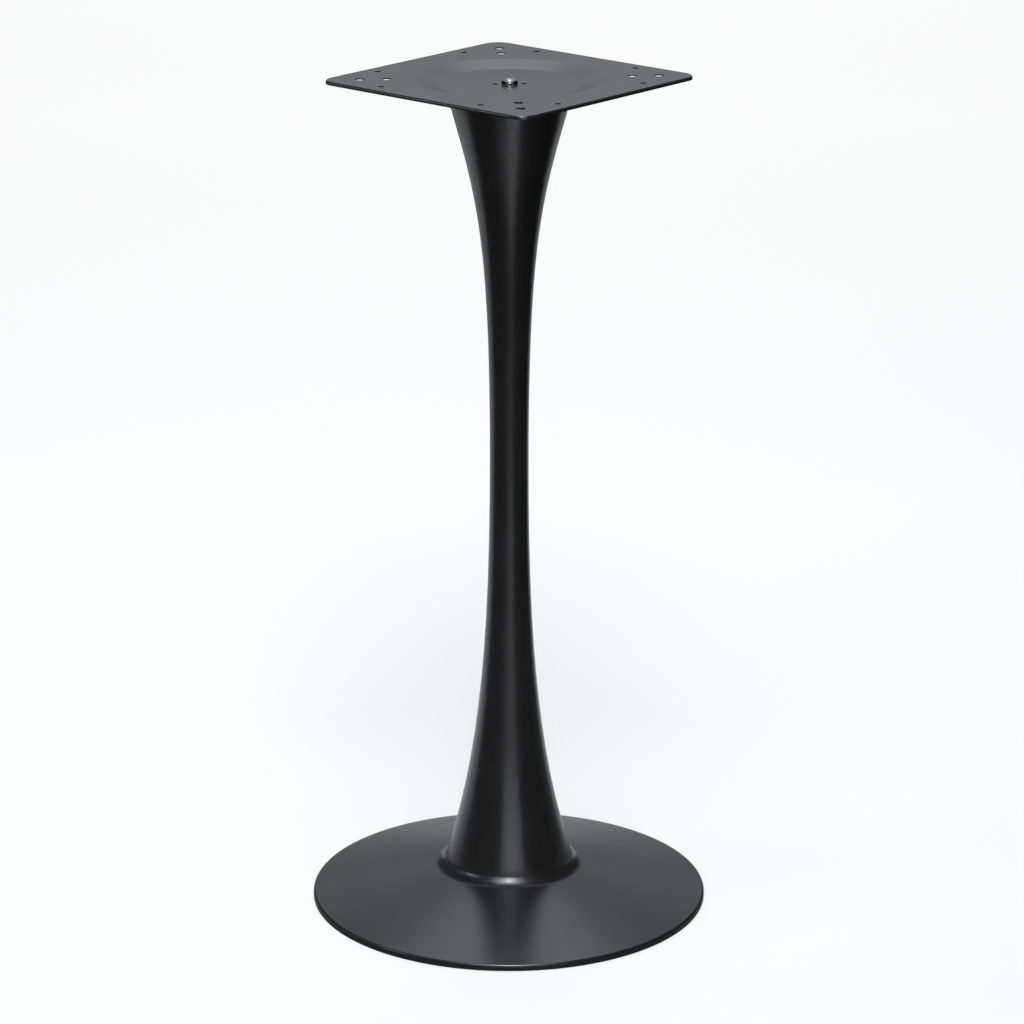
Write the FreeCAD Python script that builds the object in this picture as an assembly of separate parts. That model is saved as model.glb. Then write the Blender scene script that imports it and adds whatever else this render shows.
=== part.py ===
import FreeCAD, Part
import math
import os

# Pedestal for a bar-height table: a pressed top plate, a spun trumpet column and a spun foot
# over a cast weight, all clamped by one tie rod on the axis.
# Millimetres and degrees. Z is up, the axis is Z and the floor is at zero.

# Overall
base_height = 1060.0              # floor to the seat of the table top

# Top plate, pressed from one sheet
plate_side = 326.0
plate_corner_radius = 22.0
plate_sheet = 1.6
plate_edge_height = 4.4           # turned-down edge, sheet included
plate_edge_bend = 0.8             # bends are inside radii
dish_rim_radius = 116.0
dish_floor_radius = 88.0
dish_depth = 8.0
dish_rim_bend = 8.0
dish_floor_bend = 6.0
large_hole_diameter = 12.0
large_hole_outer_spacing = 255.0
large_hole_inner_spacing = 210.0
small_hole_diameter = 8.0
small_hole_long_spacing = 286.0
small_hole_short_spacing = 158.0

# Column, spun to a trumpet at both ends
column_wall = 2.0                 # measured level
column_foot_radius = 79.3
column_foot_angle = 10.5          # lean of the wall at the very foot
column_band_radius = 72.06        # top of the curved band at the foot
column_band_height = 28.0
column_waist_radius = 24.1
column_top_radius = 78.4
column_waist_height = 583.0
foot_flare_angle = 15.8           # lean of the wall above the band
foot_flare_reach = 133.3          # how far the flare holds that lean
waist_reach_down = 224.3          # how far the waist stays upright
waist_reach_up = 300.0
top_flare_angle = 15.0
top_flare_reach = 136.0

# Pressed cap in the mouth of the column
cap_sheet = 2.0
cap_flange_height = 10.0
cap_bend = 1.5
cap_clearance = 0.2

# Foot cover, spun from one sheet
foot_diameter = 500.0
foot_sheet = 2.0
foot_rim_height = 7.8             # where the cone meets the rim
foot_rim_floor_gap = 0.4
foot_rim_bend = 1.2
collar_foot_height = 44.4         # where the cone would meet the collar
collar_top_height = 53.0          # the column's seat
collar_ledge = 1.6                # shoulder beyond the column's wall
collar_lean = 5.4                 # collar's foot beyond its shoulder
collar_foot_bend = 20.0           # wide cove between cone and collar
collar_shoulder_bend = 0.5
plug_height = 5.0                 # step that centres the column
plug_clearance = 0.3              # beyond the bend at the step's foot
plug_foot_bend = 1.5
plug_top_bend = 1.0

# Cast weight under the cover
weight_thickness = 7.0
weight_cover_clearance = 1.9
hub_set_back = 0.5                # hub inside the column's outline
hub_wall = 15.0
hub_fillet = 5.0
web_thickness = 10.0
nut_recess_radius = 60.0
rib_count = 6
rib_thickness = 8.0
rib_reach = 70.0
rib_height = 26.0
rib_root = 2.0                    # depth of a rib's root in the casting

# Rubber pads
pad_count = 6
pad_diameter = 24.0
pad_height = 3.0
pad_edge_bend = 1.0
pad_stem_diameter = 8.0
pad_edge_margin = 5.0
pad_turn = 30.0                   # first pad lies between two ribs

# Tie rod and its nuts
rod_diameter = 10.0
rod_clearance = 0.5
rod_end_chamfer = 1.5
rod_top_stand_out = 0.8
rod_bottom_stand_out = 2.5
rod_floor_gap = 4.0
nut_sides = 6
nut_across_flats = 17.0
nut_face_diameter = 16.2
nut_chamfer_angle = 30.0
top_nut_height = 5.0
top_nut_turn = 11.0
bottom_nut_height = 8.0
bottom_nut_turn = 0.0
washer_diameter = 30.0
washer_thickness = 2.5

# Locating pins, headed under the cap
pin_diameter = 5.0
pin_spacing = 35.0
pin_direction = -45.0
pin_hole_clearance = 1.3
pin_recess = 1.0                  # end of the pin below the dish floor
pin_head_diameter = 8.0
pin_head_height = 1.5

# Levels and radii that follow
axis_point = FreeCAD.Vector(0, 0, 0)
up = FreeCAD.Vector(0, 0, 1)
dish_floor_height = base_height - dish_depth
column_top_height = dish_floor_height - plate_sheet
rod_radius = rod_diameter / 2
rod_hole_radius = rod_radius + rod_clearance
foot_radius = foot_diameter / 2
collar_top_radius = column_foot_radius + collar_ledge
collar_foot_radius = collar_top_radius + collar_lean
cone_run = foot_radius - collar_foot_radius
cone_slope = (collar_foot_height - foot_rim_height) / cone_run
cone_sheet_height = foot_sheet * math.hypot(1.0, cone_slope)
weight_top_height = pad_height + weight_thickness
weight_edge_rise = weight_top_height + weight_cover_clearance + cone_sheet_height - foot_rim_height
weight_radius = foot_radius - weight_edge_rise / cone_slope
hub_radius = column_foot_radius - hub_set_back
washer_bottom_height = rod_floor_gap + rod_bottom_stand_out + bottom_nut_height
web_bottom_height = washer_bottom_height + washer_thickness
pad_ring_radius = weight_radius - pad_edge_margin - pad_diameter / 2


def section_point(corner):
    """Point of a turned section from (radius, height, ...)."""
    return FreeCAD.Vector(corner[0], 0, corner[1])


def line(start, end):
    return Part.LineSegment(start, end).toShape()


def bent_edges(corners):
    """Edges through (radius, height, bend) corners, with an arc at each corner that has a bend."""
    edges = []
    last = section_point(corners[0])
    for before, corner, after in zip(corners, corners[1:], corners[2:]):
        here = section_point(corner)
        bend = corner[2]
        back = (section_point(before) - here).normalize()
        ahead = (section_point(after) - here).normalize()
        half_angle = back.getAngle(ahead) / 2
        run = bend / math.tan(half_angle)
        edges.append(line(last, here + back * run))
        last = here + ahead * run
        if bend > 0:
            bisector = (back + ahead).normalize()
            middle = here + bisector * (bend / math.sin(half_angle) - bend)
            edges.append(Part.Arc(here + back * run, middle, last).toShape())
    edges.append(line(last, section_point(corners[-1])))
    return edges


def turned(edges):
    """Solid turned about the axis from a closed section."""
    section = Part.Face(Part.Wire(edges))
    return section.revolve(axis_point, up, 360)


def turned_block(corners):
    """Solid turned from the corners of a closed section, which starts at a plain corner."""
    return turned(bent_edges(corners + corners[:1]))


def left_of(start, end):
    """Unit direction to the left of a run, seen with the radius to the right and the height up."""
    run = (section_point(end) - section_point(start)).normalize()
    return FreeCAD.Vector(-run.z, 0, run.x)


def pressed_sheet(path, sheet):
    """Sheet turned about the axis.

    path follows the sheet's outer face towards the axis as (radius, height, inside bend) corners,
    and the sheet lies on its left.
    """
    outer = [path[0]]
    first = section_point(path[0]) + left_of(path[0], path[1]) * sheet
    inner = [(first.x, first.z, 0)]
    for before, corner, after in zip(path, path[1:], path[2:]):
        side_in = left_of(before, corner)
        side_out = left_of(corner, after)
        shift = (side_in + side_out) * (sheet / (1 + side_in.dot(side_out)))
        place = section_point(corner) + shift
        bends_left = side_in.cross(side_out).y < 0
        inside_bend = corner[2]
        outside_bend = inside_bend + sheet
        outer.append((corner[0], corner[1], outside_bend if bends_left else inside_bend))
        inner.append((place.x, place.z, inside_bend if bends_left else outside_bend))
    outer.append(path[-1])
    last = section_point(path[-1]) + left_of(path[-2], path[-1]) * sheet
    inner.append((last.x, last.z, 0))
    edges = bent_edges(outer)
    edges.append(line(section_point(outer[-1]), section_point(inner[-1])))
    edges += bent_edges(inner[::-1])
    edges.append(line(section_point(inner[0]), section_point(outer[0])))
    return turned(edges)


def upright(diameter, bottom, top, x=0.0, y=0.0):
    """Upright cylinder."""
    return Part.makeCylinder(diameter / 2, top - bottom, FreeCAD.Vector(x, y, bottom), up)


def ring_places(radius, count, turn):
    """Places evenly spaced on a circle, as (x, y)."""
    angles = [math.radians(turn + 360.0 * index / count) for index in range(count)]
    return [(radius * math.cos(angle), radius * math.sin(angle)) for angle in angles]


def pin_places():
    return ring_places(pin_spacing / 2, 2, pin_direction)


def plate_block(side, corner_radius, edge_bend, bottom, top):
    """Square block with rounded corners and a rounded top edge."""
    corner = FreeCAD.Vector(-side / 2, -side / 2, bottom)
    block = Part.makeBox(side, side, top - bottom, corner)
    upright_edges = [edge for edge in block.Edges if edge.BoundBox.ZLength > edge.BoundBox.DiagonalLength / 2]
    block = block.makeFillet(corner_radius, upright_edges)
    half = (bottom + top) / 2
    top_edges = [edge for edge in block.Edges if edge.BoundBox.ZMin > half]
    return block.makeFillet(edge_bend, top_edges)


def make_top_plate():
    """Square sheet with a turned-down edge, a round dish and its screw holes."""
    edge_bottom = base_height - plate_edge_height
    outside = plate_block(plate_side, plate_corner_radius, plate_edge_bend + plate_sheet,
                          edge_bottom, base_height)
    inside = plate_block(plate_side - 2 * plate_sheet, plate_corner_radius - plate_sheet, plate_edge_bend,
                         edge_bottom - plate_edge_height, base_height - plate_sheet)
    dish_join_radius = dish_rim_radius + dish_rim_bend + plate_sheet
    dish_opening = upright(2 * dish_join_radius, edge_bottom, base_height + plate_sheet)
    dish = pressed_sheet([
        (dish_join_radius, base_height, 0),
        (dish_rim_radius, base_height, dish_rim_bend),
        (dish_floor_radius, dish_floor_height, dish_floor_bend),
        (rod_hole_radius, dish_floor_height, 0),
    ], plate_sheet)
    plate = outside.cut(inside).cut(dish_opening).fuse(dish).removeSplitter()
    patterns = [
        (large_hole_diameter, large_hole_outer_spacing, large_hole_outer_spacing),
        (large_hole_diameter, large_hole_inner_spacing, large_hole_inner_spacing),
        (small_hole_diameter, small_hole_long_spacing, small_hole_short_spacing),
        (small_hole_diameter, small_hole_short_spacing, small_hole_long_spacing),
    ]
    holes = []
    for diameter, spacing_x, spacing_y in patterns:
        for side_x in (-0.5, 0.5):
            for side_y in (-0.5, 0.5):
                x = side_x * spacing_x
                y = side_y * spacing_y
                holes.append(upright(diameter, edge_bottom, base_height + plate_sheet, x, y))
    for x, y in pin_places():
        diameter = pin_diameter + 2 * pin_hole_clearance
        holes.append(upright(diameter, column_top_height - plate_sheet, base_height, x, y))
    return plate.cut(holes)


def bezier(points):
    curve = Part.BezierCurve()
    curve.setPoles([section_point(point) for point in points])
    return curve.toShape()


def trumpet_edges(inset):
    """Outline of the column from foot to top: a short band, then two long curves that meet upright at the waist."""
    foot = (column_foot_radius - inset, collar_top_height)
    band = (column_band_radius - inset, collar_top_height + column_band_height)
    waist = (column_waist_radius - inset, column_waist_height)
    top = (column_top_radius - inset, column_top_height)
    band_third = column_band_height / 3
    band_lean = math.radians(foot_flare_angle)
    top_lean = math.radians(top_flare_angle)
    foot_pull = (foot[0] - band_third * math.tan(math.radians(column_foot_angle)), foot[1] + band_third)
    band_low = (band[0] + band_third * math.tan(band_lean), band[1] - band_third)
    band_high = (band[0] - foot_flare_reach * math.sin(band_lean), band[1] + foot_flare_reach * math.cos(band_lean))
    top_pull = (top[0] - top_flare_reach * math.sin(top_lean), top[1] - top_flare_reach * math.cos(top_lean))
    waist_low = (waist[0], waist[1] - waist_reach_down)
    waist_high = (waist[0], waist[1] + waist_reach_up)
    return [
        bezier([foot, foot_pull, band_low, band]),
        bezier([band, band_high, waist_low, waist]),
        bezier([waist, waist_high, top_pull, top]),
    ]


def make_column():
    """Hollow trumpet, open at both ends."""
    outer = trumpet_edges(0.0)
    inner = trumpet_edges(column_wall)
    foot_edge = line(inner[0].Vertexes[0].Point, outer[0].Vertexes[0].Point)
    top_edge = line(outer[-1].Vertexes[-1].Point, inner[-1].Vertexes[-1].Point)
    return turned([foot_edge] + outer + [top_edge] + inner[::-1])


def make_column_top_cap():
    """Flanged disc, flush with the column's upper edge and leaning with its wall."""
    rim_radius = column_top_radius - column_wall - cap_clearance
    flange_radius = rim_radius - cap_flange_height * math.tan(math.radians(top_flare_angle))
    cap = pressed_sheet([
        (flange_radius, column_top_height - cap_flange_height, 0),
        (rim_radius, column_top_height, cap_bend),
        (rod_hole_radius, column_top_height, 0),
    ], cap_sheet)
    bottom = column_top_height - 2 * cap_sheet
    return cap.cut([upright(pin_diameter, bottom, base_height, x, y) for x, y in pin_places()])


def make_locating_pins():
    """Two headed pins through the cap, which keep the plate from turning."""
    head_top = column_top_height - cap_sheet
    head_bottom = head_top - pin_head_height
    pins = []
    for x, y in pin_places():
        shank = upright(pin_diameter, head_bottom, dish_floor_height - pin_recess, x, y)
        head = upright(pin_head_diameter, head_bottom, head_top, x, y)
        pins.append(shank.fuse(head).removeSplitter())
    return Part.makeCompound(pins)


def make_foot_cover():
    """Rim, cone, coved collar, seat for the column and the step that centres it."""
    plug_radius = column_foot_radius - column_wall - plug_clearance - plug_foot_bend
    plug_lean = plug_height * math.tan(math.radians(column_foot_angle))
    plug_top_height = collar_top_height + plug_height
    return pressed_sheet([
        (foot_radius, foot_rim_floor_gap, 0),
        (foot_radius, foot_rim_height, foot_rim_bend),
        (collar_foot_radius, collar_foot_height, collar_foot_bend),
        (collar_top_radius, collar_top_height, collar_shoulder_bend),
        (plug_radius, collar_top_height, plug_foot_bend),
        (plug_radius - plug_lean, plug_top_height, plug_top_bend),
        (rod_hole_radius, plug_top_height, 0),
    ], foot_sheet)


def make_foot_weight():
    """Cast disc with a hub ring under the column's seat, a web for the rod, ribs and pad holes."""
    hub_top_height = collar_top_height - foot_sheet
    hub_inner_radius = hub_radius - hub_wall
    web_top_height = web_bottom_height + web_thickness
    weight = turned_block([
        (rod_hole_radius, web_bottom_height, 0),
        (nut_recess_radius, web_bottom_height, hub_fillet),
        (nut_recess_radius, pad_height, 0),
        (weight_radius, pad_height, 0),
        (weight_radius, weight_top_height, 0),
        (hub_radius, weight_top_height, hub_fillet),
        (hub_radius, hub_top_height, 0),
        (hub_inner_radius, hub_top_height, 0),
        (hub_inner_radius, web_top_height, hub_fillet),
        (rod_hole_radius, web_top_height, 0),
    ])
    rib_outline = Part.makePolygon([
        FreeCAD.Vector(hub_radius - rib_root, -rib_thickness / 2, weight_top_height - rib_root),
        FreeCAD.Vector(hub_radius + rib_reach, -rib_thickness / 2, weight_top_height - rib_root),
        FreeCAD.Vector(hub_radius + rib_reach, -rib_thickness / 2, weight_top_height),
        FreeCAD.Vector(hub_radius, -rib_thickness / 2, weight_top_height + rib_height),
        FreeCAD.Vector(hub_radius - rib_root, -rib_thickness / 2, weight_top_height + rib_height),
        FreeCAD.Vector(hub_radius - rib_root, -rib_thickness / 2, weight_top_height - rib_root),
    ])
    rib = Part.Face(rib_outline).extrude(FreeCAD.Vector(0, rib_thickness, 0))
    ribs = []
    for index in range(rib_count):
        copy = rib.copy()
        copy.rotate(axis_point, up, 360.0 * index / rib_count)
        ribs.append(copy)
    weight = weight.fuse(ribs).removeSplitter()
    places = ring_places(pad_ring_radius, pad_count, pad_turn)
    return weight.cut([upright(pad_stem_diameter, 0.0, 2 * weight_top_height, x, y) for x, y in places])


def make_foot_pads():
    """Rubber pads with stems pressed into the weight."""
    pad = turned_block([
        (0, 0, 0),
        (pad_diameter / 2, 0, pad_edge_bend),
        (pad_diameter / 2, pad_height, 0),
        (pad_stem_diameter / 2, pad_height, 0),
        (pad_stem_diameter / 2, weight_top_height, 0),
        (0, weight_top_height, 0),
    ])
    pads = []
    for x, y in ring_places(pad_ring_radius, pad_count, pad_turn):
        copy = pad.copy()
        copy.translate(FreeCAD.Vector(x, y, 0))
        pads.append(copy)
    return Part.makeCompound(pads)


def make_tie_rod():
    """Rod from below the bottom nut to just above the top nut."""
    top = dish_floor_height + top_nut_height + rod_top_stand_out
    return turned_block([
        (0, rod_floor_gap, 0),
        (rod_radius - rod_end_chamfer, rod_floor_gap, 0),
        (rod_radius, rod_floor_gap + rod_end_chamfer, 0),
        (rod_radius, top - rod_end_chamfer, 0),
        (rod_radius - rod_end_chamfer, top, 0),
        (0, top, 0),
    ])


def make_nut(bottom, height, turn):
    """Hexagon nut with chamfered corners on both faces."""
    corner_radius = nut_across_flats / 2 / math.cos(math.pi / nut_sides)
    corners = ring_places(corner_radius, nut_sides, turn)
    outline = [FreeCAD.Vector(x, y, bottom) for x, y in corners + corners[:1]]
    prism = Part.Face(Part.makePolygon(outline)).extrude(up * height)
    face_radius = nut_face_diameter / 2
    drop = (corner_radius - face_radius) * math.tan(math.radians(nut_chamfer_angle))
    chamfers = turned_block([
        (rod_radius, bottom, 0),
        (face_radius, bottom, 0),
        (corner_radius, bottom + drop, 0),
        (corner_radius, bottom + height - drop, 0),
        (face_radius, bottom + height, 0),
        (rod_radius, bottom + height, 0),
    ])
    return prism.common(chamfers)


def make_bottom_washer():
    washer = upright(washer_diameter, washer_bottom_height, web_bottom_height)
    return washer.cut(upright(2 * rod_hole_radius, washer_bottom_height, web_bottom_height))


pieces = {
    "top_plate": make_top_plate(),
    "column": make_column(),
    "column_top_cap": make_column_top_cap(),
    "locating_pins": make_locating_pins(),
    "foot_cover": make_foot_cover(),
    "foot_weight": make_foot_weight(),
    "foot_pads": make_foot_pads(),
    "tie_rod": make_tie_rod(),
    "top_nut": make_nut(dish_floor_height, top_nut_height, top_nut_turn),
    "bottom_washer": make_bottom_washer(),
    "bottom_nut": make_nut(washer_bottom_height - bottom_nut_height, bottom_nut_height, bottom_nut_turn),
}

os.makedirs("parts", exist_ok=True)
for name, shape in pieces.items():
    shape.exportStep("parts/" + name + ".step")
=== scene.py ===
import math
from collections import namedtuple

import bpy
from bpy.props import FloatProperty, FloatVectorProperty, PointerProperty
from mathutils import Matrix, Vector


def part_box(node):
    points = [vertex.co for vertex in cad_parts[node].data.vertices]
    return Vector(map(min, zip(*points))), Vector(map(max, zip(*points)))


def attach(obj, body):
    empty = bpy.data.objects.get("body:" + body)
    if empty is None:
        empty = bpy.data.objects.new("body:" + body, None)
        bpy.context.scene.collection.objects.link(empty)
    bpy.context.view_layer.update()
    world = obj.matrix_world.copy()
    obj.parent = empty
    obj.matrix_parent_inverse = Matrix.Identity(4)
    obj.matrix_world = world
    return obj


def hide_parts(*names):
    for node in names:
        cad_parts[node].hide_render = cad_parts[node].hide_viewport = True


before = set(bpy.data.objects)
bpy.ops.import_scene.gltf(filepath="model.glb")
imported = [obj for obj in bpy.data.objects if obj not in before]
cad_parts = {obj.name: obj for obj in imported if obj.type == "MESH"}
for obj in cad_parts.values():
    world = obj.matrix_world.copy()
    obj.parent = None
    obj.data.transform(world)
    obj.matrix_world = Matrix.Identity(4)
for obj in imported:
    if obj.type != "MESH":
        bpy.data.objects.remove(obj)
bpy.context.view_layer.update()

bl_info = {
    "name": "Tulip Table Base",
    "version": (1, 0, 0),
    "blender": (4, 5, 0),
    "location": "View3D > Sidebar > Tulip Base",
    "description": "Dresses a pressed steel tulip table base in its finishes and sets it on a studio floor",
    "category": "Object",
}

# Which pieces of the base share a finish.
COATED_PIECES = ("top_plate", "column", "column_top_cap", "foot_cover", "locating_pins")
ZINC_PIECES = ("bottom_washer", "bottom_nut")

# The plating of the washer and the lower nut, which the tie rod has too.
ZINC_PLATING = "bright_zinc"

# Faces that meet at a smaller angle than this are shaded as one smooth surface.
SMOOTH_ANGLE = math.radians(35.0)

# Width of the small plane that an outline starts from, and the distance at which points are merged.
SEED_SIZE = 0.001
MERGE_DISTANCE = 1e-6

# A softbox is placed as the camera sees the base: metres to the right of the column, behind it and up.
# It is aimed at a height on the column's axis, its size is its width and length, and its beam spreads over
# the whole half space in front of it unless a smaller angle is given, in degrees.
FULL_SPREAD = 180.0
Softbox = namedtuple(
    "Softbox", ("place", "aim_height", "size", "radiance", "spread"), defaults=(FULL_SPREAD,))

SOFTBOXES = {
    "overhead_softbox": Softbox((0.0, 2.2, 4.6), aim_height=0.5, size=(2.0, 3.2), radiance=1.25),
    "high_rear_softbox": Softbox((0.0, 5.4, 5.6), aim_height=0.5, size=(3.8, 2.2), radiance=0.66),
    "rear_panel": Softbox((0.0, 8.0, 4.5), aim_height=0.8, size=(6.0, 3.0), radiance=0.53),
    "low_rear_panel": Softbox((0.0, 8.0, 1.5), aim_height=0.8, size=(6.0, 3.0), radiance=0.27),
    "left_rear_panel": Softbox((-3.4, 2.2, 1.8), aim_height=0.6, size=(4.0, 3.6), radiance=0.06),
    "left_panel": Softbox((-3.2, 0.3, 1.2), aim_height=0.6, size=(1.5, 2.4), radiance=0.18),
    "left_key": Softbox((-2.4, -0.65, 1.75), aim_height=0.1, size=(0.7, 0.7), radiance=4.6),
    "front_key": Softbox((0.05, -2.3, 3.6), aim_height=-1.15, size=(0.5, 1.8), radiance=25.0),
    "wide_key": Softbox((-0.1, -2.2, 3.7), aim_height=-1.3, size=(2.6, 1.6), radiance=4.2),
    "top_key": Softbox((0.0, -0.5, 3.6), aim_height=-1.8, size=(1.2, 1.4), radiance=4.0),
    "front_strip": Softbox((0.45, -4.0, 0.62), aim_height=0.4, size=(2.8, 0.85), radiance=1.9),
    "eye_lamp": Softbox((0.0, -4.0, 1.877), aim_height=1.05, size=(0.3, 0.3), radiance=32.0),
    "floor_strip": Softbox((0.15, -1.05, 0.02), aim_height=0.95, size=(0.5, 0.45), radiance=0.22,
                           spread=80.0),
}

# Watts of a softbox for each square metre and unit of radiance.
WATTS_PER_RADIANCE = 4.0

# How strongly the floor is lifted to white for the camera, by metres behind the base.
PAPER_GLOW = (
    (-1.0, 0.385), (-0.35, 0.405), (0.0, 0.455), (0.8, 0.555),
    (1.65, 0.64), (3.0, 0.72), (4.7, 0.79), (6.5, 0.815),
)


class PowderCoatFinish(bpy.types.PropertyGroup):
    """The black coat on the plate, the column, its cap, the pins and the foot."""

    colour: FloatVectorProperty(
        name="Colour", description="Colour of the coat", subtype="COLOR",
        size=4, min=0.0, max=1.0, default=(0.0080, 0.0080, 0.0082, 1.0))
    pale_colour: FloatVectorProperty(
        name="Pale Colour", description="Colour where the coat lies a little thinner", subtype="COLOR",
        size=4, min=0.0, max=1.0, default=(0.0100, 0.0100, 0.0103, 1.0))
    roughness: FloatProperty(
        name="Roughness", description="Roughness of the satin coat", subtype="FACTOR",
        min=0.0, max=1.0, default=0.26)
    roughness_spread: FloatProperty(
        name="Roughness Spread", description="How far the roughness drifts over the surface",
        subtype="FACTOR", min=0.0, max=0.5, default=0.015)
    cloud_size: FloatProperty(
        name="Cloud Size", description="Width of the soft patches in the coat", unit="LENGTH",
        min=0.001, default=0.060)
    wave_size: FloatProperty(
        name="Wave Size", description="Width of one wave of the baked coat", unit="LENGTH",
        min=0.0001, default=0.0022)
    grain_size: FloatProperty(
        name="Grain Size", description="Width of one grain of the powder", unit="LENGTH",
        min=0.0001, default=0.0007)
    grain_share: FloatProperty(
        name="Grain Share", description="Share of the grain in the relief", subtype="FACTOR",
        min=0.0, max=1.0, default=0.35)
    relief: FloatProperty(
        name="Relief", description="Height of the waves of the coat", unit="LENGTH",
        min=0.0, default=0.000004)


class ZincFinish(bpy.types.PropertyGroup):
    """The plating on the tie rod, the washer and the lower nut."""

    colour: FloatVectorProperty(
        name="Colour", description="Colour of the plating", subtype="COLOR",
        size=4, min=0.0, max=1.0, default=(0.38, 0.38, 0.37, 1.0))
    pale_colour: FloatVectorProperty(
        name="Pale Colour", description="Colour of the brighter spangles", subtype="COLOR",
        size=4, min=0.0, max=1.0, default=(0.47, 0.47, 0.46, 1.0))
    roughness: FloatProperty(
        name="Roughness", description="Roughness of the plating", subtype="FACTOR",
        min=0.0, max=1.0, default=0.44)
    roughness_spread: FloatProperty(
        name="Roughness Spread", description="How far the roughness drifts between spangles",
        subtype="FACTOR", min=0.0, max=0.5, default=0.08)
    cloud_size: FloatProperty(
        name="Spangle Size", description="Width of one spangle of the plating", unit="LENGTH",
        min=0.0001, default=0.0030)
    wave_size: FloatProperty(
        name="Wave Size", description="Width of one tool mark", unit="LENGTH",
        min=0.0001, default=0.0018)
    grain_size: FloatProperty(
        name="Grain Size", description="Width of one grain of the plating", unit="LENGTH",
        min=0.0001, default=0.0004)
    grain_share: FloatProperty(
        name="Grain Share", description="Share of the grain in the relief", subtype="FACTOR",
        min=0.0, max=1.0, default=0.4)
    relief: FloatProperty(
        name="Relief", description="Height of the tool marks", unit="LENGTH",
        min=0.0, default=0.000010)


class BlackSteelFinish(bpy.types.PropertyGroup):
    """The blackened steel of the nut in the dish."""

    colour: FloatVectorProperty(
        name="Colour", description="Colour of the blackened nut", subtype="COLOR",
        size=4, min=0.0, max=1.0, default=(0.180, 0.180, 0.184, 1.0))
    pale_colour: FloatVectorProperty(
        name="Pale Colour", description="Colour of the nut where the blacking is thin", subtype="COLOR",
        size=4, min=0.0, max=1.0, default=(0.220, 0.220, 0.224, 1.0))
    roughness: FloatProperty(
        name="Roughness", description="Roughness of the blackened nut", subtype="FACTOR",
        min=0.0, max=1.0, default=0.12)
    roughness_spread: FloatProperty(
        name="Roughness Spread", description="How far the roughness drifts over the nut",
        subtype="FACTOR", min=0.0, max=0.5, default=0.02)
    cloud_size: FloatProperty(
        name="Cloud Size", description="Width of one patch of the blacking", unit="LENGTH",
        min=0.0001, default=0.0030)
    wave_size: FloatProperty(
        name="Wave Size", description="Width of one tool mark", unit="LENGTH",
        min=0.0001, default=0.0015)
    grain_size: FloatProperty(
        name="Grain Size", description="Width of one grain of the steel", unit="LENGTH",
        min=0.0001, default=0.0004)
    grain_share: FloatProperty(
        name="Grain Share", description="Share of the grain in the relief", subtype="FACTOR",
        min=0.0, max=1.0, default=0.4)
    relief: FloatProperty(
        name="Relief", description="Height of the tool marks", unit="LENGTH",
        min=0.0, default=0.000010)


class CastingFinish(bpy.types.PropertyGroup):
    """The painted skin of the cast weight."""

    colour: FloatVectorProperty(
        name="Colour", description="Colour of the painted casting", subtype="COLOR",
        size=4, min=0.0, max=1.0, default=(0.030, 0.030, 0.031, 1.0))
    pale_colour: FloatVectorProperty(
        name="Pale Colour", description="Colour of the casting where the paint is thin", subtype="COLOR",
        size=4, min=0.0, max=1.0, default=(0.055, 0.053, 0.051, 1.0))
    roughness: FloatProperty(
        name="Roughness", description="Roughness of the casting", subtype="FACTOR",
        min=0.0, max=1.0, default=0.68)
    roughness_spread: FloatProperty(
        name="Roughness Spread", description="How far the roughness drifts over the casting",
        subtype="FACTOR", min=0.0, max=0.5, default=0.10)
    cloud_size: FloatProperty(
        name="Cloud Size", description="Width of the soft patches in the paint", unit="LENGTH",
        min=0.001, default=0.035)
    wave_size: FloatProperty(
        name="Wave Size", description="Width of one bump of the sand cast skin", unit="LENGTH",
        min=0.0001, default=0.0030)
    grain_size: FloatProperty(
        name="Grain Size", description="Width of one grain of sand", unit="LENGTH",
        min=0.0001, default=0.0009)
    grain_share: FloatProperty(
        name="Grain Share", description="Share of the grain in the relief", subtype="FACTOR",
        min=0.0, max=1.0, default=0.45)
    relief: FloatProperty(
        name="Relief", description="Height of the sand cast skin", unit="LENGTH",
        min=0.0, default=0.00025)


class RubberFinish(bpy.types.PropertyGroup):
    """The moulded rubber of the floor pads."""

    colour: FloatVectorProperty(
        name="Colour", description="Colour of the floor pads", subtype="COLOR",
        size=4, min=0.0, max=1.0, default=(0.022, 0.022, 0.022, 1.0))
    pale_colour: FloatVectorProperty(
        name="Pale Colour", description="Colour of the scuffed rubber", subtype="COLOR",
        size=4, min=0.0, max=1.0, default=(0.040, 0.040, 0.039, 1.0))
    roughness: FloatProperty(
        name="Roughness", description="Roughness of the floor pads", subtype="FACTOR",
        min=0.0, max=1.0, default=0.80)
    roughness_spread: FloatProperty(
        name="Roughness Spread", description="How far the roughness drifts over a pad",
        subtype="FACTOR", min=0.0, max=0.5, default=0.08)
    cloud_size: FloatProperty(
        name="Cloud Size", description="Width of one scuffed patch", unit="LENGTH",
        min=0.0001, default=0.006)
    wave_size: FloatProperty(
        name="Wave Size", description="Width of one bump of the moulded skin", unit="LENGTH",
        min=0.0001, default=0.0012)
    grain_size: FloatProperty(
        name="Grain Size", description="Width of one grain of the rubber", unit="LENGTH",
        min=0.0001, default=0.0004)
    grain_share: FloatProperty(
        name="Grain Share", description="Share of the grain in the relief", subtype="FACTOR",
        min=0.0, max=1.0, default=0.5)
    relief: FloatProperty(
        name="Relief", description="Height of the moulded skin", unit="LENGTH",
        min=0.0, default=0.00004)


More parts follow.
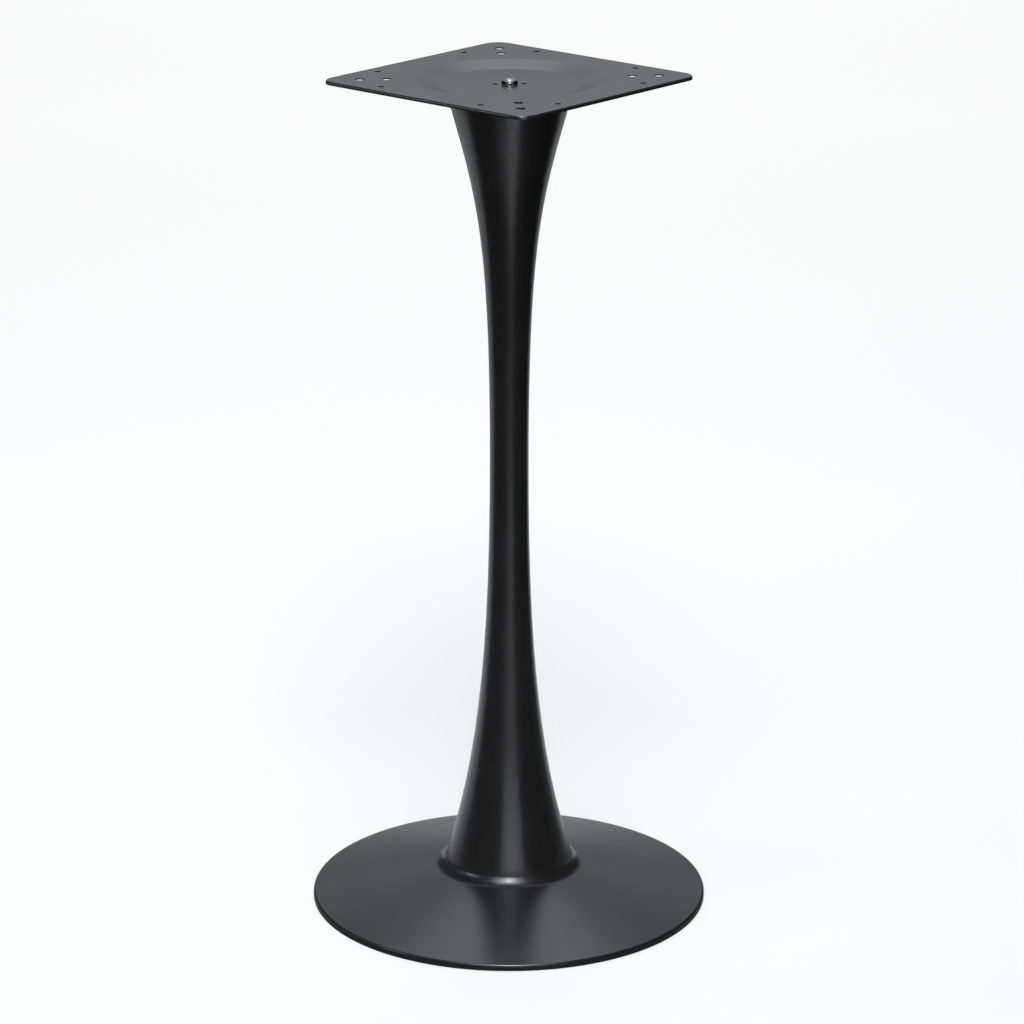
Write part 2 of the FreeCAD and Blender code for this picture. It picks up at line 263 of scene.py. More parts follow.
class TopNut(bpy.types.PropertyGroup):
    """The thin nut in the dish."""

    across_flats: FloatProperty(
        name="Across Flats", description="Width of the nut over two flats", unit="LENGTH",
        min=0.001, default=0.0170)
    turn: FloatProperty(
        name="Turn", description="Angle of one of the nut's corners, from the x axis", subtype="ANGLE",
        unit="ROTATION", default=math.radians(11.0))
    edge_round: FloatProperty(
        name="Edge Round", description="Rounding of the nut's edges", unit="LENGTH",
        min=0.0, default=0.0003)
    chamfer_radius: FloatProperty(
        name="Chamfer Radius", description="Radius of the nut's round upper face", unit="LENGTH",
        min=0.001, default=0.0081)
    bore_play: FloatProperty(
        name="Bore Play", description="Play of the rod in the nut", unit="LENGTH",
        min=0.0, default=0.0001)


class RodThread(bpy.types.PropertyGroup):
    """The rolled thread at both ends of the tie rod."""

    pitch: FloatProperty(
        name="Pitch", description="Rise of the thread in one turn", unit="LENGTH",
        min=0.0001, default=0.0015)
    length: FloatProperty(
        name="Length", description="Length of the thread at each end", unit="LENGTH",
        min=0.001, default=0.030)
    end_chamfer: FloatProperty(
        name="End Chamfer", description="Chamfer at the ends of the rod", unit="LENGTH",
        min=0.0, default=0.0004)


class StageSettings(bpy.types.PropertyGroup):
    """The camera, the floor, the surroundings and the colour of the lamps."""

    heading: FloatProperty(
        name="Heading", description="Turn of the view about the column", subtype="ANGLE",
        unit="ROTATION", default=0.857)
    distance: FloatProperty(
        name="Distance", description="Level distance from the column to the camera",
        subtype="DISTANCE", unit="LENGTH", default=4.757886)
    eye_height: FloatProperty(
        name="Eye Height", description="Height of the camera", subtype="DISTANCE",
        unit="LENGTH", default=2.033763)
    look_down: FloatProperty(
        name="Look Down", description="Tilt of the camera below level", subtype="ANGLE",
        unit="ROTATION", default=0.309794)
    side_step: FloatProperty(
        name="Side Step", description="Small turn of the camera to the right of the column",
        subtype="ANGLE", unit="ROTATION", default=0.00074)
    roll: FloatProperty(
        name="Roll", description="Small lean of the camera", subtype="ANGLE",
        unit="ROTATION", default=0.00125)
    lens: FloatProperty(
        name="Lens", description="Focal length of the camera", subtype="DISTANCE_CAMERA",
        default=141.06)
    clip_end: FloatProperty(
        name="Clip End", description="How far the camera sees", subtype="DISTANCE",
        unit="LENGTH", default=200.0)
    surroundings: FloatProperty(
        name="Surroundings", description="Light of the studio around the lamps", min=0.0, default=0.046)
    lamp_colour: FloatVectorProperty(
        name="Lamp Colour", description="Colour of the lamps, close to daylight", subtype="COLOR",
        size=3, min=0.0, soft_max=1.0, default=(0.975, 0.992, 1.03))
    floor_size: FloatProperty(
        name="Floor Size", description="Width of the studio floor", subtype="DISTANCE",
        unit="LENGTH", default=80.0)
    paper: FloatProperty(
        name="Paper", description="Grey of the paper in front of the base and behind it",
        subtype="FACTOR", min=0.0, max=1.0, default=0.80)
    paper_seen: FloatProperty(
        name="Paper Seen", description="Grey of the paper for the camera, on which the shadow falls",
        subtype="FACTOR", min=0.0, max=1.0, default=0.45)
    # Painted pool of light: the studio floor around the paper is painted greyer near the base and darker
    # away from it. Between the two reaches it fades into painted shade of the unlit studio. It is seen in
    # reflections and in bounced light.
    pool_floor_grey: FloatProperty(
        name="Near Floor", description="Grey of the studio floor around the paper, near the base",
        subtype="FACTOR", min=0.0, max=1.0, default=0.16)
    unlit_floor_grey: FloatProperty(
        name="Far Floor", description="Grey of the studio floor around the paper, away from the base",
        subtype="FACTOR", min=0.0, max=1.0, default=0.02)
    near_reach: FloatProperty(
        name="Near Reach", description="How far from the base the studio floor starts to darken",
        subtype="DISTANCE", unit="LENGTH", default=0.7)
    far_reach: FloatProperty(
        name="Far Reach", description="How far from the base the studio floor is at its darkest",
        subtype="DISTANCE", unit="LENGTH", default=1.7)
    paper_mirrored: FloatProperty(
        name="Paper Mirrored", description="Light of the wide sheet of paper in the reflections",
        subtype="FACTOR", min=0.0, max=1.0, default=0.065)
    paper_half_width: FloatProperty(
        name="Paper Half Width", description="Half width of the strip of white paper in front of the base",
        subtype="DISTANCE", unit="LENGTH", default=0.42)
    paper_near: FloatProperty(
        name="Paper Near", description="Where the strip of white paper in front of the base starts",
        subtype="DISTANCE", unit="LENGTH", default=0.45)
    paper_front: FloatProperty(
        name="Paper Front", description="How far the strip of white paper reaches towards the camera",
        subtype="DISTANCE", unit="LENGTH", default=1.10)
    paper_start: FloatProperty(
        name="Paper Start", description="How far behind the column's axis the wide sheet of paper starts",
        subtype="DISTANCE", unit="LENGTH", default=0.1)
    paper_left_slant: FloatProperty(
        name="Paper Left Slant", default=0.15,
        description="How much further back the wide sheet starts for each metre to the left")
    paper_right_slant: FloatProperty(
        name="Paper Right Slant", default=0.80,
        description="How much further back the wide sheet starts for each metre to the right")
    paper_back: FloatProperty(
        name="Paper Back", description="How far the wide sheet of paper reaches behind the base",
        subtype="DISTANCE", unit="LENGTH", default=3.0)
    paper_fade: FloatProperty(
        name="Paper Fade", description="Half the width over which the paper fades into the dark studio",
        subtype="DISTANCE", unit="LENGTH", default=0.25)


class TulipBaseSettings(bpy.types.PropertyGroup):
    """All that a user would change."""

    coat: PointerProperty(type=PowderCoatFinish)
    zinc: PointerProperty(type=ZincFinish)
    black_steel: PointerProperty(type=BlackSteelFinish)
    casting: PointerProperty(type=CastingFinish)
    rubber: PointerProperty(type=RubberFinish)
    nut: PointerProperty(type=TopNut)
    thread: PointerProperty(type=RodThread)
    stage: PointerProperty(type=StageSettings)


def feed(tree, socket, value):
    """Gives a socket a plain value, or links it to the socket of another node."""
    if isinstance(value, bpy.types.NodeSocket):
        tree.links.new(value, socket)
    else:
        socket.default_value = value


def math_node(tree, operation, first, second):
    """One step of arithmetic on two numbers or sockets."""
    node = tree.nodes.new("ShaderNodeMath")
    node.operation = operation
    feed(tree, node.inputs[0], first)
    feed(tree, node.inputs[1], second)
    return node.outputs["Value"]


def range_node(tree, value, from_low=0.0, from_high=1.0, to_low=0.0, to_high=1.0, smooth=False):
    """Carries a value over from one range to another, evenly or with soft ends."""
    node = tree.nodes.new("ShaderNodeMapRange")
    node.interpolation_type = "SMOOTHSTEP" if smooth else "LINEAR"
    feed(tree, node.inputs["Value"], value)
    feed(tree, node.inputs["From Min"], from_low)
    feed(tree, node.inputs["From Max"], from_high)
    feed(tree, node.inputs["To Min"], to_low)
    feed(tree, node.inputs["To Max"], to_high)
    return node.outputs["Result"]


def noise_node(tree, vector, size, detail, roughness):
    """A noise texture with patches of about the given width."""
    node = tree.nodes.new("ShaderNodeTexNoise")
    node.inputs["Detail"].default_value = detail
    node.inputs["Roughness"].default_value = roughness
    feed(tree, node.inputs["Vector"], vector)
    feed(tree, node.inputs["Scale"], math_node(tree, "DIVIDE", 1.0, size))
    return node.outputs["Fac"]


def mix_node(tree, kind, share, first, second):
    """A mix of two colours or two numbers."""
    node = tree.nodes.new("ShaderNodeMix")
    node.data_type = kind
    feed(tree, node.inputs["Factor"], share)
    feed(tree, node.inputs["A"], first)
    feed(tree, node.inputs["B"], second)
    return node.outputs["Result"]


def band(tree, value, low, high, fade):
    """A soft mask that is 1 between two places and 0 outside them."""
    rise = range_node(tree, value, low - fade, low + fade, smooth=True)
    fall = range_node(tree, value, high - fade, high + fade, to_low=1.0, to_high=0.0, smooth=True)
    return math_node(tree, "MULTIPLY", rise, fall)


def new_group(name, inputs, outputs):
    """An empty shader node group with its sockets, its input node and its output node."""
    group = bpy.data.node_groups.new(name, "ShaderNodeTree")
    for direction, sockets in (("INPUT", inputs), ("OUTPUT", outputs)):
        for socket_name, kind in sockets.items():
            group.interface.new_socket(name=socket_name, in_out=direction, socket_type=kind)
    return group, group.nodes.new("NodeGroupInput"), group.nodes.new("NodeGroupOutput")


def cloud_group():
    """Soft patches that shift a finish between two colours and two roughnesses."""
    name = "soft_clouds"
    if name in bpy.data.node_groups:
        return bpy.data.node_groups[name]
    group, inside, outside = new_group(
        name,
        {"Vector": "NodeSocketVector",
         "Cloud Size": "NodeSocketFloat",
         "Colour": "NodeSocketColor",
         "Pale Colour": "NodeSocketColor",
         "Roughness Low": "NodeSocketFloat",
         "Roughness High": "NodeSocketFloat"},
        {"Colour": "NodeSocketColor",
         "Roughness": "NodeSocketFloat"})
    given = inside.outputs
    noise = noise_node(group, given["Vector"], given["Cloud Size"], detail=4.0, roughness=0.55)
    cloud = range_node(group, noise, from_low=0.30, from_high=0.70, smooth=True)
    tint = mix_node(group, "RGBA", cloud, given["Colour"], given["Pale Colour"])
    gloss = range_node(group, cloud, to_low=given["Roughness Low"], to_high=given["Roughness High"])
    group.links.new(tint, outside.inputs["Colour"])
    group.links.new(gloss, outside.inputs["Roughness"])
    return group


def relief_group():
    """Two sizes of fine relief, mixed into one height."""
    name = "fine_relief"
    if name in bpy.data.node_groups:
        return bpy.data.node_groups[name]
    group, inside, outside = new_group(
        name,
        {"Vector": "NodeSocketVector",
         "Wave Size": "NodeSocketFloat",
         "Grain Size": "NodeSocketFloat",
         "Grain Share": "NodeSocketFloat"},
        {"Height": "NodeSocketFloat"})
    given = inside.outputs
    wave = noise_node(group, given["Vector"], given["Wave Size"], detail=1.0, roughness=0.5)
    grain = noise_node(group, given["Vector"], given["Grain Size"], detail=0.0, roughness=0.5)
    height = mix_node(group, "FLOAT", given["Grain Share"], wave, grain)
    group.links.new(height, outside.inputs["Height"])
    return group


def place_group(tree, group, values):
    """A node group placed in a material with its own values."""
    node = tree.nodes.new("ShaderNodeGroup")
    node.node_tree = group
    for name, value in values.items():
        feed(tree, node.inputs[name], value)
    return node.outputs


def finish_material(name, finish, metallic=0.0):
    """A material with the soft clouds and the fine relief of a finish."""
    material = bpy.data.materials.new(name)
    material.use_nodes = True
    tree = material.node_tree
    shader = tree.nodes["Principled BSDF"]
    shader.inputs["Metallic"].default_value = metallic
    where = tree.nodes.new("ShaderNodeTexCoord").outputs["Object"]
    clouds = place_group(tree, cloud_group(), {
        "Vector": where,
        "Cloud Size": finish.cloud_size,
        "Colour": finish.colour,
        "Pale Colour": finish.pale_colour,
        "Roughness Low": finish.roughness - finish.roughness_spread,
        "Roughness High": finish.roughness + finish.roughness_spread,
    })
    tree.links.new(clouds["Colour"], shader.inputs["Base Color"])
    tree.links.new(clouds["Roughness"], shader.inputs["Roughness"])
    relief = place_group(tree, relief_group(), {
        "Vector": where,
        "Wave Size": finish.wave_size,
        "Grain Size": finish.grain_size,
        "Grain Share": finish.grain_share,
    })
    bump = tree.nodes.new("ShaderNodeBump")
    bump.inputs["Strength"].default_value = 1.0
    bump.inputs["Distance"].default_value = finish.relief
    tree.links.new(relief["Height"], bump.inputs["Height"])
    tree.links.new(bump.outputs["Normal"], shader.inputs["Normal"])
    return material


def dress(node_names, material):
    """Puts a finish in every material slot of the named pieces of the frame."""
    for name in node_names:
        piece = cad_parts[name]
        for slot in piece.material_slots:
            slot.material = material


def dress_new(piece, material):
    """Gives a newly modelled piece its only finish."""
    piece.data.materials.clear()
    piece.data.materials.append(material)


def select_only(*pieces):
    """Selects these pieces and makes the last one active."""
    bpy.ops.object.select_all(action="DESELECT")
    for piece in pieces:
        piece.select_set(True)
    bpy.context.view_layer.objects.active = pieces[-1]


def cut_with(piece, tool, operation):
    """Cuts a piece with a tool and throws the tool away."""
    cut = piece.modifiers.new("cut", "BOOLEAN")
    cut.operation = operation
    cut.solver = "EXACT"
    cut.object = tool
    select_only(piece)
    bpy.ops.object.modifier_apply(modifier=cut.name)
    select_only(tool)
    bpy.ops.object.delete()


def draw_outline(name, points):
    """A new object with one open line through (radius, height) points, drawn from a single vertex."""
    bpy.ops.object.select_all(action="DESELECT")
    bpy.ops.mesh.primitive_plane_add(size=SEED_SIZE, location=(0.0, 0.0, 0.0))
    piece = bpy.context.object
    piece.name = name
    bpy.ops.object.mode_set(mode="EDIT")
    bpy.ops.mesh.select_all(action="SELECT")
    bpy.ops.mesh.merge(type="CENTER")
    bpy.ops.transform.translate(value=(points[0][0], 0.0, points[0][1]))
    for (radius, height), (next_radius, next_height) in zip(points, points[1:]):
        step = (next_radius - radius, 0.0, next_height - height)
        bpy.ops.mesh.extrude_region_move(TRANSFORM_OT_translate={"value": step})
    bpy.ops.object.mode_set(mode="OBJECT")
    return piece


def sweep_outline(piece, steps, rise=0.0, turns=1):
    """Sweeps an outline about the upright axis, climbing by the rise in each turn."""
    select_only(piece)
    sweep = piece.modifiers.new("sweep", "SCREW")
    sweep.axis = "Z"
    sweep.screw_offset = rise
    sweep.iterations = turns
    sweep.steps = steps
    sweep.render_steps = steps
    bpy.ops.object.modifier_apply(modifier=sweep.name)
    bpy.ops.object.mode_set(mode="EDIT")
    bpy.ops.mesh.select_all(action="SELECT")
    bpy.ops.mesh.remove_doubles(threshold=MERGE_DISTANCE)
    bpy.ops.mesh.normals_make_consistent(inside=False)
    bpy.ops.object.mode_set(mode="OBJECT")


def trim(piece, height, keep_above):
    """Cuts a piece level at a height and closes the cut."""
    select_only(piece)
    bpy.ops.object.mode_set(mode="EDIT")
    bpy.ops.mesh.select_all(action="SELECT")
    bpy.ops.mesh.bisect(plane_co=(0.0, 0.0, height), plane_no=(0.0, 0.0, 1.0), use_fill=True,
                        clear_inner=keep_above, clear_outer=not keep_above)
    bpy.ops.object.mode_set(mode="OBJECT")


class CoatPressings(bpy.types.Operator):
    """Coat the top plate, the column, its cap, the pins and the foot with black satin powder"""

    bl_idname = "tulip_base.coat_pressings"
    bl_label = "Coat Pressings"

    def execute(self, context):
        settings = context.scene.tulip_base
        dress(COATED_PIECES, finish_material("black_powder_coat", settings.coat))
        return {"FINISHED"}


class PlateHardware(bpy.types.Operator):
    """Plate the lower washer and nut with bright zinc"""

    bl_idname = "tulip_base.plate_hardware"
    bl_label = "Plate Hardware"

    def execute(self, context):
        settings = context.scene.tulip_base
        dress(ZINC_PIECES, finish_material(ZINC_PLATING, settings.zinc, metallic=1.0))
        return {"FINISHED"}


class ForgeTopNut(bpy.types.Operator):
    """Model the black nut in the dish, chamfered and with rounded edges, in place of the plain one"""

    bl_idname = "tulip_base.forge_top_nut"
    bl_label = "Forge Top Nut"

    SIDES = 6
    BORE_STEPS = 48
    CHAMFER_STEPS = 96
    CHAMFER_ANGLE = math.radians(30.0)
    ROUND_STEPS = 4

    # Edges sharper than this are rounded.
    SHARP_ANGLE = math.radians(40.0)

    # How far the cone that turns the chamfer reaches over the nut's top and under its bottom.
    CONE_ABOVE = 0.0002
    CONE_BELOW = 0.0008

    def add_hexagon(self, nut_settings, height, middle):
        """The plain nut before it is cut."""
        half_side_angle = math.pi / self.SIDES
        corner_radius = nut_settings.across_flats / 2.0 / math.cos(half_side_angle)
        bpy.ops.object.select_all(action="DESELECT")
        bpy.ops.mesh.primitive_cylinder_add(
            vertices=self.SIDES, radius=corner_radius, depth=height, location=(0.0, 0.0, middle),
            rotation=(0.0, 0.0, nut_settings.turn - half_side_angle))
        bpy.ops.object.transform_apply(location=True, rotation=True, scale=True)
        return bpy.context.object

    def chamfer(self, nut, radius, height, top):
        """Turns the upper corners off with a cone through the edge of the round upper face."""
        slope = 1.0 / math.tan(self.CHAMFER_ANGLE)
        depth = height + self.CONE_ABOVE + self.CONE_BELOW
        bpy.ops.object.select_all(action="DESELECT")
        bpy.ops.mesh.primitive_cone_add(
            vertices=self.CHAMFER_STEPS, radius1=radius + (depth - self.CONE_ABOVE) * slope,
            radius2=radius - self.CONE_ABOVE * slope, depth=depth,
            location=(0.0, 0.0, top + self.CONE_ABOVE - depth / 2.0))
        cut_with(nut, bpy.context.object, "INTERSECT")

    def bore(self, nut, radius, height, middle):
        """Cuts the round hole for the rod."""
        bpy.ops.object.select_all(action="DESELECT")
        bpy.ops.mesh.primitive_cylinder_add(
            vertices=self.BORE_STEPS, radius=radius, depth=2.0 * height, location=(0.0, 0.0, middle))
        cut_with(nut, bpy.context.object, "DIFFERENCE")

    def round_edges(self, nut, width):
        """Rounds the nut's edges and shades the rounding smooth."""
        select_only(nut)
        edges = nut.modifiers.new("rounded_edges", "BEVEL")
        edges.width = width
        edges.segments = self.ROUND_STEPS
        edges.limit_method = "ANGLE"
        edges.angle_limit = self.SHARP_ANGLE
        bpy.ops.object.modifier_apply(modifier=edges.name)
        bpy.ops.object.shade_smooth_by_angle(angle=SMOOTH_ANGLE)

    def execute(self, context):
        settings = context.scene.tulip_base
        low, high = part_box("top_nut")
        rod_low, rod_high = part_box("tie_rod")
        height = high[2] - low[2]
        middle = (low[2] + high[2]) / 2.0
        nut = self.add_hexagon(settings.nut, height, middle)
        nut.name = "rounded_top_nut"
        self.chamfer(nut, settings.nut.chamfer_radius, height, high[2])
        self.bore(nut, (rod_high[0] - rod_low[0]) / 2.0 + settings.nut.bore_play, height, middle)
        self.round_edges(nut, settings.nut.edge_round)
        dress_new(nut, finish_material("blackened_steel", settings.black_steel, metallic=1.0))
        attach(nut, "root")
        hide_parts("top_nut")
        return {"FINISHED"}


class RollRodThreads(bpy.types.Operator):
    """Model the tie rod with a rolled thread at both ends in place of the plain one"""

    bl_idname = "tulip_base.roll_rod_threads"
    bl_label = "Roll Rod Threads"

    STEPS = 48

    # Turns of the helix past each end of the thread, which are cut off again.
    SPARE_TURNS = 2

    # The depth of the thread and the heights of its root, flank and crest, as shares of its pitch.
    DEPTH = 0.5413
    ROOT = 1.0 / 4.0
    FLANK = 5.0 / 16.0
    CREST = 1.0 / 8.0

    def threaded_end(self, radius, top, thread):
        """The upper end of the rod: a helix cut to length, with its end chamfered."""
        pitch = thread.pitch
        depth = pitch * self.DEPTH
        flank = pitch * self.FLANK
        root = radius - depth
        foot = top - thread.length
        start = foot - self.SPARE_TURNS * pitch
        end = draw_outline("threaded_end", [
            (root, start),
            (root, start + pitch * self.ROOT),
            (radius, start + pitch * self.ROOT + flank),
            (radius, start + pitch * (self.ROOT + self.CREST) + flank),
            (root, start + pitch),
        ])
        turns = math.ceil(thread.length / pitch) + 2 * self.SPARE_TURNS
        sweep_outline(end, self.STEPS, rise=pitch, turns=turns)
        trim(end, foot, keep_above=True)
        trim(end, top, keep_above=False)
        blank = draw_outline("rod_blank", [
            (0.0, foot - pitch),
            (radius + depth, foot - pitch),
            (radius + depth, top - thread.end_chamfer - depth),
            (radius - thread.end_chamfer, top),
            (0.0, top),
        ])
        sweep_outline(blank, self.STEPS)
        cut_with(end, blank, "INTERSECT")
        return end

    def execute(self, context):
        thread = context.scene.tulip_base.thread
        low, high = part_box("tie_rod")
        radius = (high[0] - low[0]) / 2.0
        middle = (low[2] + high[2]) / 2.0
        upper = self.threaded_end(radius, high[2], thread)
        select_only(upper)
        bpy.ops.object.duplicate()
        lower = context.object
        bpy.ops.transform.rotate(value=math.pi, orient_axis="X", center_override=(0.0, 0.0, middle))
        bpy.ops.object.transform_apply(location=True, rotation=True, scale=True)
        overlap = thread.pitch
        shank_length = high[2] - low[2] - 2.0 * (thread.length - overlap)
        bpy.ops.object.select_all(action="DESELECT")
        bpy.ops.mesh.primitive_cylinder_add(vertices=self.STEPS, radius=radius, depth=shank_length,
                                            location=(0.0, 0.0, middle))
        shank = context.object
        bpy.ops.object.transform_apply(location=True, rotation=True, scale=True)
        select_only(upper, lower, shank)
        bpy.ops.object.join()
        rod = context.object
        rod.name = "threaded_tie_rod"
        bpy.ops.object.shade_smooth_by_angle(angle=SMOOTH_ANGLE)
        dress_new(rod, bpy.data.materials[ZINC_PLATING])
        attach(rod, "root")
        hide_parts("tie_rod")
        return {"FINISHED"}


class PaintCastWeight(bpy.types.Operator):
    """Paint the cast weight inside the foot"""

    bl_idname = "tulip_base.paint_cast_weight"
    bl_label = "Paint Cast Weight"

    def execute(self, context):
        settings = context.scene.tulip_base
        dress(("foot_weight",), finish_material("painted_casting", settings.casting))
        return {"FINISHED"}


class MouldFloorPads(bpy.types.Operator):
    """Give the floor pads their rubber"""

    bl_idname = "tulip_base.mould_floor_pads"
    bl_label = "Mould Floor Pads"

    def execute(self, context):
        settings = context.scene.tulip_base
        dress(("foot_pads",), finish_material("pad_rubber", settings.rubber))
        return {"FINISHED"}


class SetStage(bpy.types.Operator):
    """Set the floor, the lamps, the surroundings and the camera"""

    bl_idname = "tulip_base.set_stage"
    bl_label = "Set Stage"

    def seen(self, right, back, up):
        """A place given as the camera sees it, in the frame of the base."""
        turn = Matrix.Rotation(-self.stage.heading, 3, "Z")
        return turn @ Vector((right, back, up))

    def add_lamp(self, name, softbox):
        """One softbox, which the camera doesn't see."""
        where = self.seen(*softbox.place)
        width, length = softbox.size
        bpy.ops.object.light_add(type="AREA", location=where)
        lamp = bpy.context.object
        lamp.name = name
        lamp.data.name = name
        lamp.data.shape = "RECTANGLE"
        lamp.data.size = width
        lamp.data.size_y = length
        lamp.data.energy = WATTS_PER_RADIANCE * width * length * softbox.radiance
        lamp.data.spread = math.radians(softbox.spread)
        lamp.data.color = self.stage.lamp_colour
        aim = Vector((0.0, 0.0, softbox.aim_height)) - where
        lamp.rotation_euler = aim.to_track_quat("-Z", "Y").to_euler()
        lamp.visible_camera = False

    def paper_masks(self, tree, right, behind):
        """The strip of white paper in front of the base and the wide sheet behind it, as soft masks."""
        stage = self.stage
        fade = stage.paper_fade
        across = band(tree, right, -stage.paper_half_width, stage.paper_half_width, fade)
        along = band(tree, behind, -stage.paper_front, -stage.paper_near, fade)
        strip = math_node(tree, "MULTIPLY", across, along)
        left_slant = math_node(tree, "MULTIPLY", right, stage.paper_left_slant)
        right_slant = math_node(tree, "MULTIPLY", right, -stage.paper_right_slant)
        slant = math_node(tree, "MINIMUM", left_slant, right_slant)
        slanted = math_node(tree, "ADD", behind, slant)
        sheet = band(tree, slanted, stage.paper_start, stage.paper_back, fade)
        return strip, sheet

    def paper_glow(self, tree, path, behind, sheet):
        """The floor's own light: white to the camera, and a faint wide sheet in the reflections."""
        front, back = PAPER_GLOW[0][0], PAPER_GLOW[-1][0]
        ramp = tree.nodes.new("ShaderNodeValToRGB")
        elements = ramp.color_ramp.elements
        elements.remove(elements[1])
        for index, (metres, level) in enumerate(PAPER_GLOW):
            element = elements.new((metres - front) / (back - front)) if index else elements[0]
            element.color = (level, level, level, 1.0)
        feed(tree, ramp.inputs["Fac"], range_node(tree, behind, front, back))
        camera_glow = math_node(tree, "MULTIPLY", path["Is Camera Ray"], ramp.outputs["Color"])
        mirrored = math_node(tree, "MAXIMUM", path["Is Glossy Ray"], path["Is Transmission Ray"])
        mirrored_sheet = math_node(tree, "MULTIPLY", mirrored, sheet)
        mirrored_glow = math_node(tree, "MULTIPLY", mirrored_sheet, self.stage.paper_mirrored)
        return math_node(tree, "ADD", camera_glow, mirrored_glow)

    def matt_surface(self, tree, grey):
        """A matt surface of a given grey."""
        surface = tree.nodes.new("ShaderNodeBsdfDiffuse")
        feed(tree, surface.inputs["Color"], grey)
        return surface.outputs["BSDF"]

    def floor_material(self):
        """White paper in a dark studio, white all over to the camera, with the shadow of the base on it."""
        stage = self.stage
        material = bpy.data.materials.new("studio_floor")
        material.use_nodes = True
        tree = material.node_tree
        tree.nodes.remove(tree.nodes["Principled BSDF"])
        path = tree.nodes.new("ShaderNodeLightPath").outputs
        where = tree.nodes.new("ShaderNodeTexCoord").outputs["Object"]
        turn = tree.nodes.new("ShaderNodeMapping")
        turn.inputs["Rotation"].default_value = (0.0, 0.0, stage.heading)
        feed(tree, turn.inputs["Vector"], where)
        split = tree.nodes.new("ShaderNodeSeparateXYZ")
        feed(tree, split.inputs["Vector"], turn.outputs["Vector"])
        right = split.outputs["X"]
        behind = split.outputs["Y"]

        strip, sheet = self.paper_masks(tree, right, behind)
        paper_mask = math_node(tree, "MAXIMUM", strip, sheet)
        pale = math_node(tree, "MAXIMUM", path["Is Camera Ray"], paper_mask)
        paper_grey = range_node(tree, path["Is Camera Ray"], to_low=stage.paper, to_high=stage.paper_seen)
        away = tree.nodes.new("ShaderNodeVectorMath")
        away.operation = "LENGTH"
        feed(tree, away.inputs[0], where)
        # Painted pool of light on the floor around the paper: greyer near the base, darkening into painted
        # shade away from it.
        painted_pool_grey = range_node(tree, away.outputs["Value"], stage.near_reach, stage.far_reach,
                                stage.pool_floor_grey, stage.unlit_floor_grey, smooth=True)

        ground = tree.nodes.new("ShaderNodeMixShader")
        feed(tree, ground.inputs["Fac"], pale)
        feed(tree, ground.inputs[1], self.matt_surface(tree, painted_pool_grey))
        feed(tree, ground.inputs[2], self.matt_surface(tree, paper_grey))
        glow = tree.nodes.new("ShaderNodeEmission")
        feed(tree, glow.inputs["Strength"], self.paper_glow(tree, path, behind, sheet))
        total = tree.nodes.new("ShaderNodeAddShader")
        feed(tree, total.inputs[0], ground.outputs["Shader"])
        feed(tree, total.inputs[1], glow.outputs["Emission"])
        feed(tree, tree.nodes["Material Output"].inputs["Surface"], total.outputs["Shader"])
        return material

    def add_floor(self):
        """The studio floor, which is no piece of the base."""
        bpy.ops.object.select_all(action="DESELECT")
        bpy.ops.mesh.primitive_plane_add(size=self.stage.floor_size, location=(0.0, 0.0, 0.0))
        floor = bpy.context.object
        floor.name = "studio_floor"
        floor.data.materials.append(self.floor_material())

    def set_world(self):
        """Dim surroundings, which are white to the camera."""
        world = bpy.data.worlds.new("studio_surroundings")
        bpy.context.scene.world = world
        world.use_nodes = True
        tree = world.node_tree
        path = tree.nodes.new("ShaderNodeLightPath").outputs
        background = tree.nodes["Background"]
        background.inputs["Color"].default_value = (1.0, 1.0, 1.0, 1.0)
        strength = range_node(tree, path["Is Camera Ray"], to_low=self.stage.surroundings, to_high=1.0)
        feed(tree, background.inputs["Strength"], strength)

    def add_camera(self):
        """The camera in front of the base, tilted down and a little to one side."""
        stage = self.stage
        bpy.ops.object.camera_add(location=self.seen(0.0, -stage.distance, stage.eye_height))
        camera = bpy.context.object
        camera.name = "studio_camera"
        camera.data.lens = stage.lens
        camera.data.clip_end = stage.clip_end
        level = Matrix.Rotation(-stage.heading - stage.side_step, 3, "Z")
        tilt = Matrix.Rotation(math.pi / 2.0 - stage.look_down, 3, "X")
        lean = Matrix.Rotation(stage.roll, 3, "Z")
        camera.rotation_euler = (level @ tilt @ lean).to_euler()
        bpy.context.scene.camera = camera

    def execute(self, context):
        self.stage = context.scene.tulip_base.stage
        context.scene.view_settings.view_transform = "Standard"
        self.add_floor()
        for name, softbox in SOFTBOXES.items():
            self.add_lamp(name, softbox)
        self.set_world()
        self.add_camera()
        return {"FINISHED"}


OPERATORS = (
    CoatPressings, PlateHardware, ForgeTopNut, RollRodThreads, PaintCastWeight, MouldFloorPads, SetStage,
)


class TulipBasePanel(bpy.types.Panel):
    """Lists the settings and the steps that dress the base"""

    bl_idname = "VIEW3D_PT_tulip_base"
    bl_label = "Tulip Base"
    bl_space_type = "VIEW_3D"
    bl_region_type = "UI"
    bl_category = "Tulip Base"

    def draw(self, context):
        settings = context.scene.tulip_base
        for group_name in settings.__annotations__:
            group = getattr(settings, group_name)
            box = self.layout.box()
            for name in group.__annotations__:
                box.prop(group, name)
        for operator in OPERATORS:
            self.layout.operator(operator.bl_idname)


CLASSES = (
    PowderCoatFinish, ZincFinish, BlackSteelFinish, CastingFinish, RubberFinish, TopNut, RodThread,
    StageSettings, TulipBaseSettings, *OPERATORS, TulipBasePanel,
)


def register():
    for cls in CLASSES:
        bpy.utils.register_class(cls)
    bpy.types.Scene.tulip_base = PointerProperty(type=TulipBaseSettings)


def unregister():
    del bpy.types.Scene.tulip_base
    for cls in reversed(CLASSES):
        bpy.utils.unregister_class(cls)


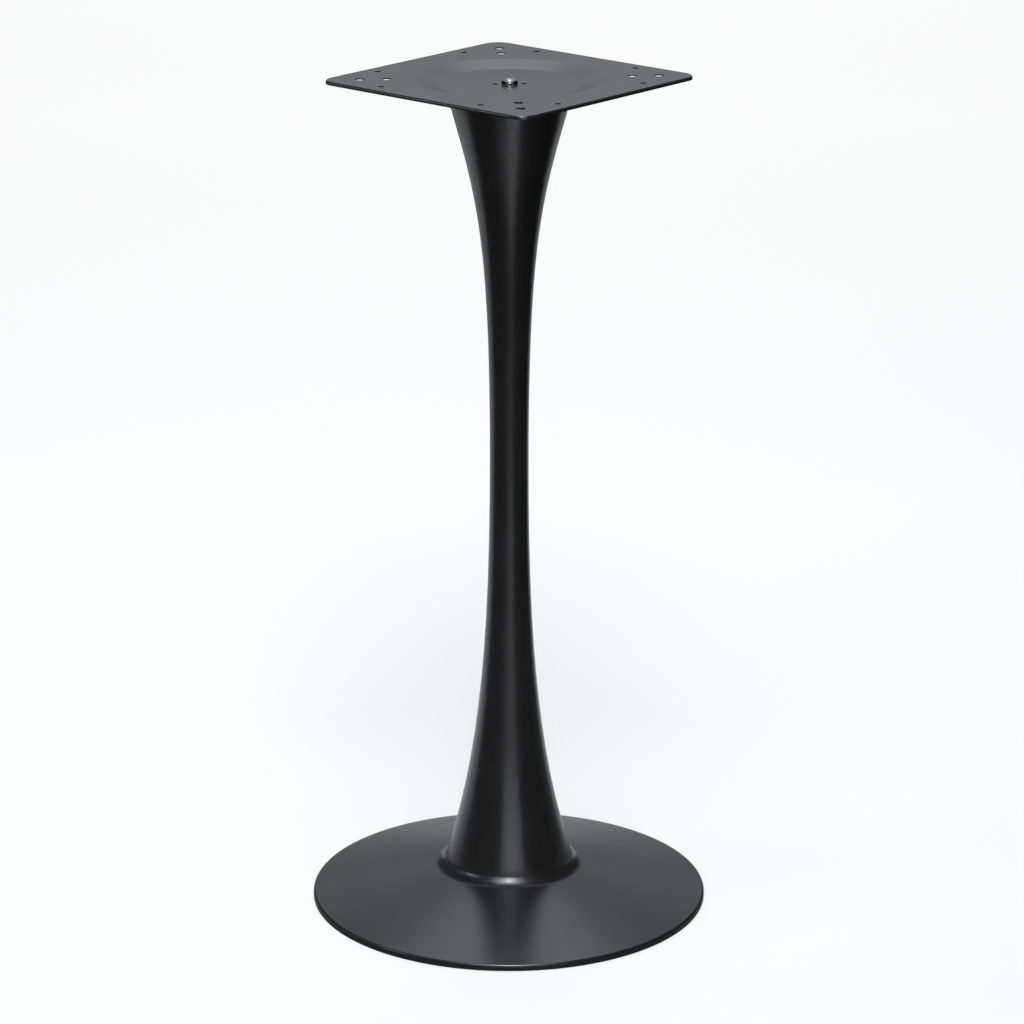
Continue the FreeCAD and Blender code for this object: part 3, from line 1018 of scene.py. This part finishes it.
def main():
    register()
    bpy.ops.tulip_base.coat_pressings()
    bpy.ops.tulip_base.plate_hardware()
    bpy.ops.tulip_base.forge_top_nut()
    bpy.ops.tulip_base.roll_rod_threads()
    bpy.ops.tulip_base.paint_cast_weight()
    bpy.ops.tulip_base.mould_floor_pads()
    bpy.ops.tulip_base.set_stage()


if __name__ == "__main__":
    main()
